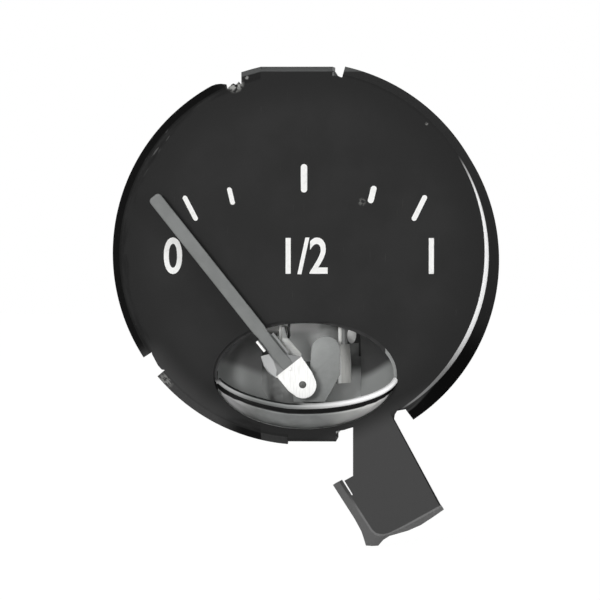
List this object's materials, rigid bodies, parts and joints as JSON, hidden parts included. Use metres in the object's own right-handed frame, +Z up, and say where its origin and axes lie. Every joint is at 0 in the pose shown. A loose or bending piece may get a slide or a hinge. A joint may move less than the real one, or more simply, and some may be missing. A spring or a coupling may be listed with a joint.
{
  "type": "fluid level gauge movement",
  "caption": "Thermal fluid level gauge movement: round dial with tab and leg, pointer pivoted in a bowl, heated bimetal strip behind, and two terminal studs.",
  "frame": {"origin": "centre of the dial's front face", "axes": "+X to the right and +Z up as the dial is read, +Y back into the panel"},
  "size_m": [0.0565, 0.033, 0.0701],
  "materials": {
    "dial_enamel": "matt charcoal enamel",
    "pointer_enamel": "satin grey enamel",
    "dull_plate": "dull zinc plate",
    "bright_plate": "bright satin",
    "steel": "plated",
    "bimetal": "rolled strip",
    "brass": "turned",
    "tinned_brass": "tinned",
    "fibre": "vulcanised fibre",
    "glass_tape": "woven glass tape",
    "resistance_wire": "drawn wire",
    "black_cover": "wire covering"
  },
  "bodies": {
    "frame": {"dial": "dial_enamel", "pivot_bowl": "dull_plate", "pivot_pin": "steel", "pivot_collar": "brass", "pivot_arm": "dull_plate", "arm_rivets": "steel", "bimetal_bridge": "steel", "compensator_strip": "bimetal", "bridge_rivets": "steel", "anchor_bracket": "bright_plate", "anchor_pad": "fibre", "anchor_rivets": "steel", "movement_plate": "dull_plate", "flange_rivets": "steel", "terminal_studs": "brass", "stud_bushes": "fibre", "solder_tags": "tinned_brass", "terminal_board": "fibre", "plain_washers": "steel", "hex_nuts": "brass", "blade_tags": "tinned_brass", "spring_washers": "steel", "lock_nuts": "brass", "lead_wire_left": "black_cover", "lead_wire_right": "black_cover"},
    "pointer_assembly": {"pointer": "pointer_enamel", "pointer_hub": "bright_plate", "crank_pin": "brass"},
    "heated_strip": {"active_strip": "bimetal", "drive_hook": "bright_plate", "hook_rivets": "steel", "insulating_sleeve": "glass_tape", "heater_winding": "resistance_wire", "heater_tail": "black_cover"}
  },
  "joints": [
    {"name": "pointer_swing", "type": "hinge", "parent": "frame", "child": "pointer_assembly", "pos_m": [0, 0, -0.019], "axis": [0, 1, 0], "range_deg": [0, 75]},
    {"name": "strip_bend", "type": "hinge", "parent": "frame", "child": "heated_strip", "pos_m": [-0.00335, 0.0037, 0.01], "axis": [0, -1, 0], "range_deg": [0, 7.63]}
  ],
  "couplings": [
    {"joint": "strip_bend", "follows": "pointer_swing", "ratio": 0.1017}
  ]
}
